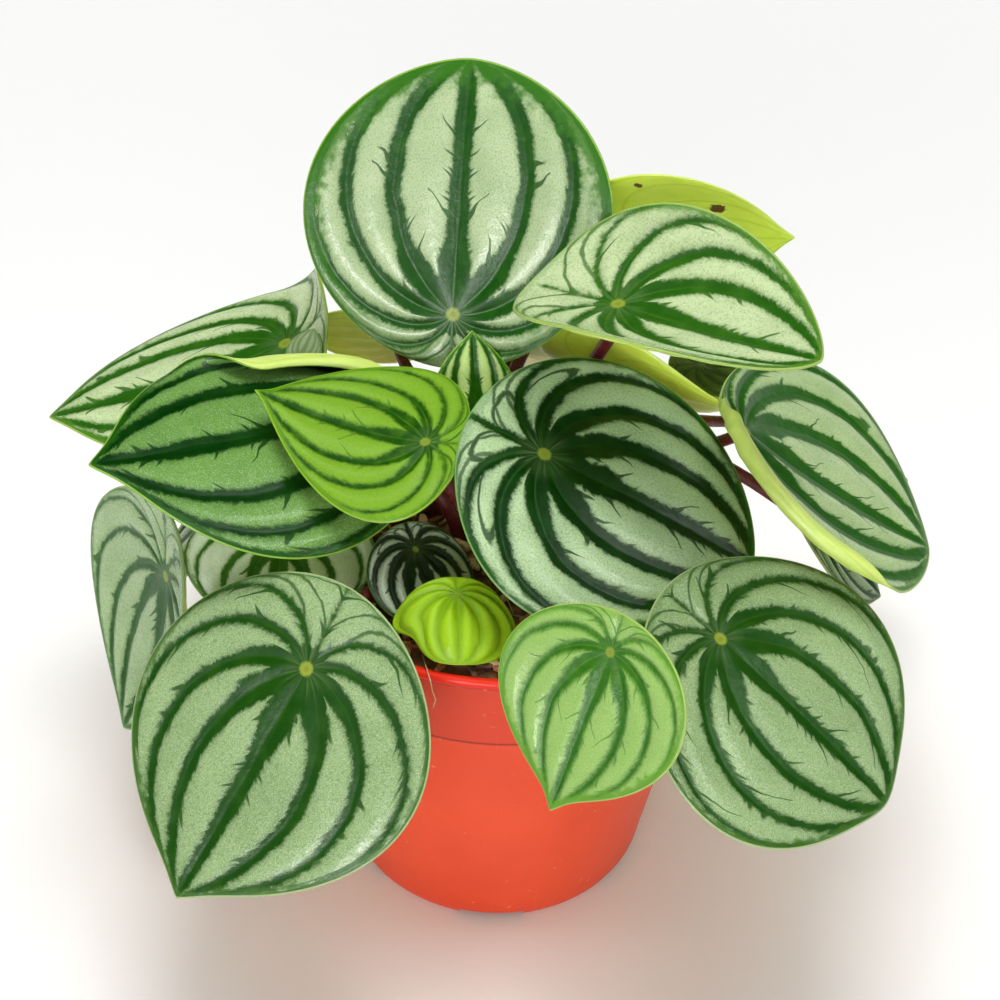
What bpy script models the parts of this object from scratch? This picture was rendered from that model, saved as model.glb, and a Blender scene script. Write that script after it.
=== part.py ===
"""Watermelon peperomia in a 12 cm nursery pot.

Metres, +Z up. The origin is the centre of the pot's foot, on the surface that it stands on, and the
front of the plant faces -Y. Each leaf is two pieces: a cupped blade and the round stalk under it.
"""

import math
from dataclasses import dataclass

import bpy
import numpy as np
from mathutils import Euler, Vector, noise

MM = 0.001
GAP = 0.3  # clearance between pieces that touch, mm

# Pot, mm
POT_HEIGHT = 107.0
LIP_RADIUS = 60.0  # outside of the rolled lip
BAND_RADIUS = 58.8  # rim band, just under the lip
LEDGE_RADIUS = 57.5  # bottom of the rim band
LEDGE_HEIGHT = 83.0
STEP_IN = 0.9  # how far the wall steps in below the band
BASE_RADIUS = 43.0
LIP = 1.2  # how far the lip's widest line is below the top
WALL = 1.5
CORNER = 3.0  # height of the slope between the floor and the wall, inside
FOOT = 2.6  # how far the feet lift the floor
FLOOR = 1.8
POT_STEPS = 56
FOOT_NOTCHES = 6
NOTCH_WIDTH = 18.0
DRAIN_RADIUS = 4.0
DRAIN_RING = 24.0

# Soil, mm
SOIL_EDGE = 100.5  # height at the pot's wall
SOIL_MOUND = 3.5  # how much higher the middle is
SOIL_LUMPS = 1.4
SOIL_STEPS = 40
SOIL_RINGS = (1, 0.84, 0.66, 0.46, 0.24)  # rows of the top, as shares of its radius
HOLE_ABOVE = 8.0  # how far a stalk's hole is cut above the soil

# Leaves, mm
BLADE = 0.9
STALK_FOOT_RADIUS = 2.0
STALK_TOP_RADIUS = 1.5
STALK_DEPTH = 22.0  # how deep a stalk is rooted
STALK_POINTS = 8
RINGS = (0.3, 0.58, 0.82, 1.0)
ROLLED_RINGS = (0.35, 0.62, 0.8, 0.9, 1.0)
RAYS = 20
ROLLED_RAYS = 24
SMALL_RAYS = 14


@dataclass
class Leaf:
    """One leaf. Lengths are mm and angles degrees, in the blade's own directions: its tip lies along
    its x axis, its left margin along y, and its upper face along z."""

    at: tuple  # where the stalk meets the blade
    heading: float  # direction of the tip, from +X towards +Y
    dip: float  # how far the tip points below level
    roll: float  # turn about the line to the tip
    length: float
    width: float
    root: tuple  # where the stalk leaves the soil, x and y
    base: float = 0.25  # share of the length behind the stalk
    point: float = 0.7  # 0.5 is a round end, 1 a sharp one
    full: float = 1.4  # higher values carry the full width nearer the tip
    drip: float = 0.03  # drawn-out tip, as a share of the length
    sweep: float = 0.0  # sideways bend of the tip, to the left
    narrow: float = 0.0  # how much narrower the right half is, as a share
    cup: float = 0.0  # rise of the margin all round
    arch: tuple = (0.0, 0.0)  # how far the left and right halves bend down
    bend: float = 0.0  # how far the tip half bends down
    back: float = 0.0  # how far the base lobe bends down
    wave: float = 0.0  # height of three waves along the margin
    left: tuple = ()  # rolled margin: where it starts, as a share of the half width, and its angle
    right: tuple = ()
    slant: float = 0.6  # 0 brings the stalk in square to the blade, 1 and more along its own line
    bow: tuple = (0, 0, 0)  # how far the middle of the stalk is pushed aside
    small: bool = False
    lime: bool = False  # a young leaf, or one whose pale underside shows


LEAVES = {
    # Those that face the front
    "leaf_top": Leaf((-15, 22, 158), 87, -65, -9, 78, 80, (-5, 9), base=0.18, point=0.58, cup=1,
                     arch=(-8, -8), bend=12, drip=0),
    "leaf_upper_right": Leaf((25, -5, 180), -32, -7, 7, 80, 57, (9, 11), base=0.31, point=0.71, full=1.1,
                             drip=0, sweep=-0.13, cup=2, arch=(-65, -46), bow=(4, 22, 0)),
    "leaf_back_lime": Leaf((33, 46, 170), -8, -5, -63, 56, 60, (2, 16), base=0.33, point=0.82,
                           drip=0.04, arch=(9, 9), bow=(-10, 12, 0), lime=True),
    "leaf_curled_lime": Leaf((27, 33, 133), -33, -4, -45, 54, 36, (14, 7), base=0.39, point=0.8,
                             cup=2, arch=(0, -30), lime=True),
    "leaf_right": Leaf((59, -6, 145), -41, 28, 8, 69, 73, (23, -4), base=0.17, point=0.65, full=1.2,
                       sweep=0.07, narrow=0.5, cup=2, arch=(-3, 0), bend=10, right=(0.5, -150),
                       drip=0, bow=(4, 16, -6)),
    "leaf_centre": Leaf((9, -20, 146), -16, 21, 14, 79, 80, (2, -9), base=0.26, point=0.71, drip=0,
                        sweep=0.07, arch=(8, 11), bend=8),
    "leaf_lower_left": Leaf((-46, -60, 110), -128, 46, -4, 81, 81, (-23, -26), base=0.27, point=0.75,
                            full=1.7, drip=0.04, sweep=-0.04, arch=(10, 2), bend=-4, bow=(-5, 0, 2)),
    "leaf_front": Leaf((24, -80, 137), -124, 62, 6, 46, 50, (8, -25), base=0.2, point=0.8, drip=0.07,
                       sweep=-0.05, cup=2, arch=(-8, -8), bend=8, slant=0.2, bow=(5, -2, -13)),
    "leaf_lower_right": Leaf((51, -60, 124), -30, 28, 3, 70, 79, (18, -17), base=0.25, point=0.56,
                             full=1.9, arch=(-6, 8), bend=8),
    "leaf_upper_left": Leaf((-61, 42, 134), 192, 20, -2, 83, 66, (-18, 6), base=0.22, point=0.76,
                            arch=(13, 13), bend=-10, back=-75),
    "leaf_left": Leaf((-32, 4, 142), 206, 1, -15, 82, 72, (-12, -3), base=0.13, point=0.74,
                      drip=0.06, sweep=0.02, narrow=0.15, arch=(24, 22), bend=-11, right=(0.74, -120)),
    "leaf_lime": Leaf((-20, -18, 147), 167, 8, -14, 53, 48, (-5, -14), base=0.2, point=0.92, full=1,
                      drip=0.04, sweep=-0.1, cup=3, arch=(22, 8), bend=-20, lime=True),
    "leaf_young": Leaf((-11, -42, 121), -86, 20, -8, 26, 34, (-2, -38), base=0.25, point=0.62,
                       arch=(62, 62), bend=28, small=True, lime=True),
    "leaf_glossy": Leaf((-21, -24, 117), -58, 28, -12, 28, 29, (-12, -24), base=0.25, arch=(12, 12),
                        bend=4, small=True),
    "leaf_far_left": Leaf((-88, -12, 96), -108, 81, 40, 68, 68, (-28, 2), base=0.31, point=0.68, full=0.9,
                          narrow=-0.1, cup=3, arch=(-30, -14), bend=-20, sweep=-0.07, bow=(0, 0, 14)),
    "leaf_silver": Leaf((-57, -20, 114), -90, 12, 0, 40, 45, (-24, -12), base=0.35, point=0.75,
                        bow=(0, 0, 2)),
    "leaf_striped": Leaf((-8, 2, 136.5), 98, -57, 5, 34, 24, (-4, 0), base=0.3, point=0.79,
                         arch=(10, 10), bend=4, small=True),
    "leaf_tiny": Leaf((-49, 27, 147), 60, -40, 0, 12, 10, (-12, 13), small=True, bow=(6, 6, 0)),
    # Those behind
    "leaf_shaded": Leaf((-31, 54, 129), 175, 0, 60, 36, 32, (-8, 22)),
    "leaf_dark": Leaf((54, 56, 122), 0, 0, 0, 42, 32, (10, 26)),
    "leaf_back_upper": Leaf((-14, 46, 150), 98, 14, 0, 60, 50, (-3, 17), wave=1),
    "leaf_back": Leaf((0, 66, 118), 88, 42, 0, 74, 60, (1, 27), base=0.27, wave=1),
    "leaf_back_right": Leaf((73, 62, 103), 18, 34, 0, 82, 64, (22, 24), base=0.25, wave=1,
                            bow=(0, 0, 6)),
    "leaf_back_left": Leaf((-62, 68, 99), 140, 42, 0, 74, 60, (-20, 16), base=0.27, wave=1, bow=(0, 0, 6)),
    "leaf_right_low": Leaf((84, 15, 101), -4, 50, 0, 44, 36, (34, 16), base=0.27, wave=1, bow=(0, 0, 14)),
    "leaf_left_low": Leaf((-78, 30, 90), 178, 52, 0, 56, 44, (-26, 10), base=0.27, wave=1, bow=(0, 0, 19)),
}


def outline(leaf, rays):
    """Flat points round the blade's edge, from the tip round by the left margin."""
    turn = np.linspace(0, 2 * np.pi, rays, endpoint=False)
    along = (1 + np.cos(turn)) / 2
    fine = np.linspace(0.01, 0.99, 99)
    widest = (np.sqrt(fine) * (1 - fine**leaf.full) ** leaf.point).max()
    half = np.sqrt(along) * (1 - along**leaf.full) ** leaf.point / widest
    from_tip = np.minimum(turn, 2 * np.pi - turn)
    x = leaf.length * (along - leaf.base + leaf.drip * np.exp(-((from_tip / 0.28) ** 2)))
    y = np.where(np.sin(turn) >= 0, 1, leaf.narrow - 1) * half * leaf.width / 2
    y += leaf.sweep * leaf.length * np.clip(x / leaf.length, 0, 1) ** 2
    return np.stack([x, y], axis=-1)


def bent(distance, offset, span, angle):
    """Where a line that bends down by an angle over a span takes a point beyond its start."""
    radius = span / math.radians(angle)
    turned = distance / radius
    return (radius + offset) * np.sin(turned), (radius + offset) * np.cos(turned) - radius


def formed(leaf, flat):
    """Flat points of the blade brought to its real form, in the blade's own directions."""
    x, y = flat[:, 0].copy(), flat[:, 1].copy()
    out = (2 * x / leaf.length) ** 2 + (2 * y / leaf.width) ** 2
    around = np.arctan2(y / leaf.width, x / leaf.length)
    z = (leaf.cup + leaf.wave * np.sin(3 * around)) * out / 2
    for side, arch, rolled in ((1, leaf.arch[0], leaf.left), (-1, leaf.arch[1], leaf.right)):
        half = leaf.width / 2 * (1 if side > 0 else 1 - leaf.narrow)
        for start, angle in ((0, arch), rolled or (0, 0)):
            if angle:
                beyond = side * y > start * half
                across, drop = bent(side * y - start * half, 0, (1 - start) * half, angle)
                z = np.where(beyond, z + drop, z)
                y = np.where(beyond, side * (start * half + across), y)
    for side, angle, share in ((1, leaf.bend, 1 - leaf.base), (-1, leaf.back, leaf.base)):
        if angle:
            beyond = side * x > 0
            reach, height = bent(side * x, z, share * leaf.length, angle)
            x, z = np.where(beyond, side * reach, x), np.where(beyond, height, z)
    return np.stack([x, y, z], axis=-1)


def leaf_turn(leaf):
    return Euler([math.radians(a) for a in (leaf.roll, leaf.dip, leaf.heading)]).to_matrix()


def material(name, colour, roughness, metallic=0.0):
    made = bpy.data.materials.new(name)
    made.use_nodes = True
    shader = made.node_tree.nodes["Principled BSDF"]
    shader.inputs["Base Color"].default_value = (*colour, 1)
    shader.inputs["Roughness"].default_value = roughness
    shader.inputs["Metallic"].default_value = metallic
    return made


def new_object(name, data, collection, surface=None):
    made = bpy.data.objects.new(name, data)
    collection.objects.link(made)
    if surface:
        data.materials.append(surface)
    return made


def mesh_object(name, vertices, faces, collection, surface=None):
    mesh = bpy.data.meshes.new(name)
    mesh.from_pydata([tuple(v) for v in vertices], [], faces)
    mesh.shade_smooth()
    return new_object(name, mesh, collection, surface)


def blade(name, leaf, collection, surface):
    """A fan of triangles from the stalk to the edge, bent to shape and given its thickness."""
    rolled = leaf.left or leaf.right
    rays = SMALL_RAYS if leaf.small else ROLLED_RAYS if rolled else RAYS
    rings = ROLLED_RINGS if rolled else RINGS
    edge = outline(leaf, rays)
    flat = np.concatenate([[[0, 0]]] + [edge * ring for ring in rings])
    faces = []
    for ray in range(rays):
        after = (ray + 1) % rays
        faces.append((0, 1 + ray, 1 + after))
        for ring in range(len(rings) - 1):
            inner, outer = 1 + ring * rays, 1 + (ring + 1) * rays
            faces.append((inner + ray, outer + ray, outer + after))
            faces.append((inner + ray, outer + after, inner + after))
    made = mesh_object(name, formed(leaf, flat) * MM, faces, collection, surface)
    made.location = Vector(leaf.at) * MM
    made.rotation_euler = leaf_turn(leaf).to_euler()
    shell = made.modifiers.new("Thickness", "SOLIDIFY")
    shell.thickness = BLADE * MM
    shell.offset = -1
    return made


def soil_height(x, y):
    """Height of the soil's surface, mm, mounded in the middle and a little lumpy."""
    share = min(math.hypot(x, y) / LEDGE_RADIUS, 1)
    lumps = noise.noise(Vector((x, y, 0)) / 9)
    return SOIL_EDGE + SOIL_MOUND * (1 - share**2) + SOIL_LUMPS * lumps


def stalk_line(leaf):
    """Points up the middle of a stalk, mm: straight in the soil, then one curve to the blade."""
    face = leaf_turn(leaf) @ Vector((0, 0, 1))
    foot = Vector((*leaf.root, soil_height(*leaf.root) + 2))
    lean = Vector((leaf.root[0] * 0.012, leaf.root[1] * 0.012, 1)).normalized()
    arrival = (face + leaf.slant * (Vector(leaf.at) - foot).normalized()).normalized()
    bow = Vector(leaf.bow)
    tilt = 0
    for _ in range(2):
        top = Vector(leaf.at) - face * (BLADE + GAP + STALK_TOP_RADIUS * tilt)
        reach = (top - foot).length
        controls = (foot, foot + lean * reach * 0.4 + bow, top - arrival * reach * 0.3 + bow, top)
        line = [foot - lean * STALK_DEPTH]
        for step in range(STALK_POINTS):
            t = step / (STALK_POINTS - 1)
            weights = ((1 - t) ** 3, 3 * t * (1 - t) ** 2, 3 * t * t * (1 - t), t**3)
            line.append(sum((c * w for c, w in zip(controls, weights)), Vector()))
        tilt = math.sin(face.angle(line[-1] - line[-2]))
    return line


def tube(name, line, radii, collection, surface=None):
    """A round bar along a line of points, with closed ends."""
    data = bpy.data.curves.new(name, "CURVE")
    data.dimensions = "3D"
    data.bevel_depth = MM
    data.bevel_resolution = 1
    data.use_fill_caps = True
    spline = data.splines.new("POLY")
    spline.points.add(len(line) - 1)
    for point, place, radius in zip(spline.points, line, radii):
        point.co = (*(place * MM), 1)
        point.radius = radius
    return new_object(name, data, collection, surface)


def stalk(name, leaf, collection, surface):
    line = stalk_line(leaf)
    radii = np.linspace(STALK_FOOT_RADIUS, STALK_TOP_RADIUS, len(line))
    return tube(name, line, radii, collection, surface)


def turned(name, profile, steps, collection, surface=None):
    """A profile of (radius, height) pairs, mm, turned about the upright axis."""
    mesh = bpy.data.meshes.new(name)
    points = [(radius * MM, 0, height * MM) for radius, height in profile]
    mesh.from_pydata(points, [(i, i + 1) for i in range(len(points) - 1)], [])
    made = new_object(name, mesh, collection, surface)
    screw = made.modifiers.new("Turn", "SCREW")
    screw.steps = screw.render_steps = steps
    screw.use_merge_vertices = True
    screw.merge_threshold = 0.00001
    screw.use_smooth_shade = True
    return made


def cut(target, cutters):
    """Takes each cutter out of the target."""
    for cutter in cutters:
        cutter.hide_render = True
        cutter.display_type = "WIRE"
        boolean = target.modifiers.new(cutter.name, "BOOLEAN")
        boolean.object = cutter


def pot_profile():
    """Once round the wall, mm: up the inside, over the lip, down the outside and along the bottom."""
    floor_top = FOOT + FLOOR
    inside = [
        (0, floor_top),
        (BASE_RADIUS - 5, floor_top),
        (BASE_RADIUS - WALL, floor_top + CORNER),
        (LEDGE_RADIUS - WALL - STEP_IN, LEDGE_HEIGHT - 2),
        (LEDGE_RADIUS - WALL, LEDGE_HEIGHT),
        (BAND_RADIUS - WALL, POT_HEIGHT - LIP),
    ]
    lip = [
        (BAND_RADIUS - WALL + 0.5, POT_HEIGHT - 0.3),
        (BAND_RADIUS - WALL + 1.2, POT_HEIGHT),
        (LIP_RADIUS - 0.8, POT_HEIGHT - 0.2),
        (LIP_RADIUS, POT_HEIGHT - LIP),
        (LIP_RADIUS - 0.2, POT_HEIGHT - LIP - 1),
        (BAND_RADIUS, POT_HEIGHT - LIP - 1.6),
    ]
    outside = [
        (LEDGE_RADIUS, LEDGE_HEIGHT + 0.6),
        (LEDGE_RADIUS - STEP_IN, LEDGE_HEIGHT - 0.2),
        (BASE_RADIUS + 0.3, 7.5),
        (BASE_RADIUS - 0.2, 4),
        (BASE_RADIUS - 1, 1.6),
        (BASE_RADIUS - 2.2, 0.2),
        (BASE_RADIUS - 2.8, 0),
    ]
    bottom = [(BASE_RADIUS - 6, 0), (BASE_RADIUS - 6.5, FOOT), (0, FOOT)]
    return inside + lip + outside + bottom


def keep_as_cutter(name, cutters):
    """Names the primitive that was just added and moves it out of the render."""
    made = bpy.context.object
    made.name = name
    bpy.context.collection.objects.unlink(made)
    cutters.objects.link(made)
    return made


def pot(collection, cutters, surface):
    """The pot, with notches between its feet and a ring of drain holes."""
    made = turned("pot", pot_profile(), POT_STEPS, collection, surface)
    tools = []
    for number in range(FOOT_NOTCHES):
        angle = math.radians(270 + number * 360 / FOOT_NOTCHES)
        outward = Vector((math.cos(angle), math.sin(angle), 0))
        bpy.ops.mesh.primitive_cube_add(
            size=1, location=outward * (BASE_RADIUS - 2) * MM, rotation=(0, 0, angle),
            scale=(14 * MM, NOTCH_WIDTH * MM, 2 * FOOT * MM),
        )
        tools.append(keep_as_cutter(f"foot_notch_{number}", cutters))
        angle += math.radians(180 / FOOT_NOTCHES)
        outward = Vector((math.cos(angle), math.sin(angle), 0))
        bpy.ops.mesh.primitive_cylinder_add(
            vertices=16, radius=DRAIN_RADIUS * MM, depth=12 * MM,
            location=(outward * DRAIN_RING + Vector((0, 0, FOOT))) * MM,
        )
        tools.append(keep_as_cutter(f"drain_{number}", cutters))
    cut(made, tools)


def wall_inside(height):
    """Inner radius of the pot at a height, mm."""
    heights, radii = zip(*[
        (FOOT + FLOOR + CORNER, BASE_RADIUS - WALL),
        (LEDGE_HEIGHT - 2, LEDGE_RADIUS - WALL - STEP_IN),
        (LEDGE_HEIGHT, LEDGE_RADIUS - WALL),
        (POT_HEIGHT - LIP, BAND_RADIUS - WALL),
    ])
    return float(np.interp(height, heights, radii))


def soil(collection, cutters, surface, lines):
    """The filling: sides that follow the pot, a lumpy top, and a plain hole for each stalk."""
    bottom = FOOT + FLOOR + GAP
    edge = wall_inside(SOIL_EDGE) - GAP
    angles = [2 * math.pi * step / SOIL_STEPS for step in range(SOIL_STEPS)]
    vertices, faces = [(0, 0, bottom)], []
    sides = [(bottom, BASE_RADIUS - 6)]
    for height in (bottom + CORNER, LEDGE_HEIGHT - 2, LEDGE_HEIGHT, SOIL_EDGE - 2):
        sides.append((height, wall_inside(height) - GAP))
    for height, radius in sides:
        vertices += [(radius * math.cos(a), radius * math.sin(a), height) for a in angles]
    for share in SOIL_RINGS:
        for a in angles:
            x, y = edge * share * math.cos(a), edge * share * math.sin(a)
            vertices.append((x, y, soil_height(x, y)))
    vertices.append((0, 0, soil_height(0, 0)))
    rows = len(sides) + len(SOIL_RINGS)
    last = 1 + (rows - 1) * SOIL_STEPS
    for step in range(SOIL_STEPS):
        after = (step + 1) % SOIL_STEPS
        faces.append((0, 1 + after, 1 + step))
        for low in range(1, last, SOIL_STEPS):
            high = low + SOIL_STEPS
            faces.append((low + step, low + after, high + after, high + step))
        faces.append((last + step, last + after, len(vertices) - 1))
    made = mesh_object("soil", np.array(vertices) * MM, faces, collection, surface)
    tools = []
    for number, line in enumerate(lines):
        up = (line[1] - line[0]).normalized()
        low, high = line[0] - up * GAP, line[1] + up * HOLE_ABOVE
        bpy.ops.mesh.primitive_cylinder_add(
            vertices=8, radius=(STALK_FOOT_RADIUS + 2 * GAP) * MM, depth=(high - low).length * MM,
            location=(low + high) / 2 * MM, rotation=up.to_track_quat("Z", "Y").to_euler(),
        )
        tools.append(keep_as_cutter(f"stalk_hole_{number}", cutters))
    cut(made, tools)


def main():
    for old in list(bpy.data.objects):
        bpy.data.objects.remove(old)
    collection = bpy.data.collections.new("potted_peperomia")
    cutters = bpy.data.collections.new("cutters")
    for made in (collection, cutters):
        bpy.context.scene.collection.children.link(made)
    plastic = material("pot_plastic", (0.73, 0.08, 0.035), 0.4)
    peat = material("soil", (0.06, 0.035, 0.02), 0.95)
    green = material("leaf_green", (0.16, 0.32, 0.12), 0.35)
    lime = material("leaf_lime", (0.38, 0.6, 0.07), 0.35)
    red = material("stalk_red", (0.12, 0.015, 0.02), 0.45)
    pot(collection, cutters, plastic)
    soil(collection, cutters, peat, [stalk_line(leaf) for leaf in LEAVES.values()])
    for name, leaf in LEAVES.items():
        blade(name, leaf, collection, lime if leaf.lime else green)
        stalk(name.replace("leaf", "stalk", 1), leaf, collection, red)


main()
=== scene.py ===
"""Looks of the potted watermelon peperomia: fine leaves, stalks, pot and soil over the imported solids.

Lengths are mm and angles degrees unless a name says otherwise. The front of the plant faces -Y.
"""

import math
from dataclasses import dataclass

import bpy
import numpy as np
from mathutils import Euler, Matrix, Vector, noise


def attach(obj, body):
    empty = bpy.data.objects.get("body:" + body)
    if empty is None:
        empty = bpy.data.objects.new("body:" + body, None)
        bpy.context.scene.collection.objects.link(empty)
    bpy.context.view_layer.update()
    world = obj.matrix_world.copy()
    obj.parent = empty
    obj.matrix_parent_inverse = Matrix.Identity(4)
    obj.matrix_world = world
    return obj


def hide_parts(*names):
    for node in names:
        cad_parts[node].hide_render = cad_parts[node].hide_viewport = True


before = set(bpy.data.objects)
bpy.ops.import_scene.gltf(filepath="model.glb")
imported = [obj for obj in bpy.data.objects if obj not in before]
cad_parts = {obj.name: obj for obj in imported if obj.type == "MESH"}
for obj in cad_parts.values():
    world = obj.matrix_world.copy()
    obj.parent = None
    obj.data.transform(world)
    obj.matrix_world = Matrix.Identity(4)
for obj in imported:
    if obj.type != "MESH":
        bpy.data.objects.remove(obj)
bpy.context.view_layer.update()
MM = 0.001

# Pot, as in its solid
POT_HEIGHT = 107.0
LIP_RADIUS = 60.0
BAND_RADIUS = 58.8
LEDGE_RADIUS = 57.5
LEDGE_HEIGHT = 83.0
STEP_IN = 0.9
BASE_RADIUS = 43.0
LIP = 1.2
WALL = 1.5
CORNER = 3.0
FOOT = 2.6
FLOOR = 1.8
POT_STEPS = 168
FOOT_NOTCHES = 6
NOTCH_WIDTH = 18.0
NOTCH_DEPTH = 14.0
DRAIN_RADIUS = 4.0
DRAIN_RING = 24.0
SHARP_EDGE = 40.0  # an edge that turns more than this stays crisp

# Soil, bark and root threads
SOIL_EDGE = 100.5
SOIL_MOUND = 3.5
SOIL_LUMPS = 1.4
SOIL_SIDES = 120
SOIL_RINGS = 44
SOIL_GAP = 0.9  # between the bed and the pot's wall
SOIL_SKIRT = ((4, 0.0), (9, 0.4))  # how far down and how far in
SOIL_GRAIN = ((2.2, 0.7, 5), (0.9, 0.35, 9))  # size, height, and the level that its noise is read at
HEAP_AT = (-12.0, -52.0)  # loose bark lies deepest here, against the front of the lip
HEAP_SPREAD = (26.0, 13.0)
HEAP_HEIGHT = 4.6
CHIPS = 900
CHIP_REACH = 56.0
CHIP_SIDES = 7
THREADS = 26
THREAD_REACH = 52.0
THREAD_STEP = 2.2
THREAD_RADIUS = 0.14
HANGING_THREAD = ((-19, -50, 106.5), (-17.5, -57, 108.3), (-16.5, -60.2, 107.6), (-16, -60.9, 105),
                  (-15.2, -60.7, 102), (-15.8, -60.4, 99))

# Leaves and stalks
BLADE = 0.9
RAYS = 132
TOP_RINGS = 38
UNDER_RINGS = 14
BAND_STARTS = (0, 55, 93, 130, 157, 180)  # directions in which the bands leave the stalk, from the tip's
LAST_BAND = len(BAND_STARTS) - 1
USUAL_LENGTH = 80.0  # patterns are sized for a leaf this long, and are finer on a shorter one
SEED_STEP = 17.3  # how far apart the patterns of two leaves are read
RING_EASE = 0.92  # under 1, the rings of points lie closer together near the margin
DRIP_SPREAD = 0.28  # radians from the tip within which it is drawn out
PATTERN_EASE = 0.75  # at 1, patterns would shrink as much as the leaf does
CURL_FADE = 8.0
CURL_HEIGHT = 0.6  # height of a rolled margin, as a share of a round roll's
STALK_FOOT_RADIUS = 2.0
STALK_TOP_RADIUS = 1.5
STALK_DEPTH = 5.0
STALK_POINTS = 26
STALK_SIDES = 14
TINY_LEAF = 15.0  # a leaf shorter than this has a thin stalk

# Camera and room
CAMERA_PITCH = 38.3
CAMERA_ROLL = 1.9
CAMERA_DISTANCE = 505.0
LOOK_AT = (-1.4, 0.0, 115.6)
FLOOR_REACH = 20000.0


@dataclass
class Leaf:
    """One leaf. +X runs to the tip, +Y is the left half and +Z the upper face."""

    at: tuple  # where the stalk meets the blade
    heading: float  # turn about the vertical
    dip: float  # how far the tip points down
    roll: float  # how far the left half is turned up
    length: float
    width: float
    root: tuple  # where the stalk roots, x and y
    base: float = 0.25  # share of the length behind the stalk
    point: float = 0.7  # how sharply the tip narrows
    full: float = 1.4  # how near the tip the widest place is
    drip: float = 0.03  # how far the tip is drawn out, as a share of the length
    sweep: float = 0.0  # how far the tip leans left, as a share of the length
    narrow: float = 0.0  # how much narrower the right half is, as a share
    wide: float = 0.0  # how much wider the left half is, as a share
    cup: float = 0.0  # how much the blade rises away from the stalk
    wave: float = 0.0  # and how much it waves
    arch: tuple = (0.0, 0.0)  # how far the left and right halves curve down
    bend: float = 0.0  # how far the tip curves down
    back: float = 0.0  # how far the base curves down
    notch: tuple = None  # degrees from the tip, their spread, and the share of the reach taken off
    # Right margin curled over: x where the curl starts and where it is full, width, degrees, x where it ends
    curl: tuple = None
    puff: float = 0.9  # how far the blade swells between its bands
    pleat: bool = False  # the swelling runs on through the margin
    slant: float = 0.6  # how far the stalk leans on its way into the blade
    bow: tuple = (0, 0, 0)  # how far the stalk bows out
    tone: str = "green"


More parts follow.
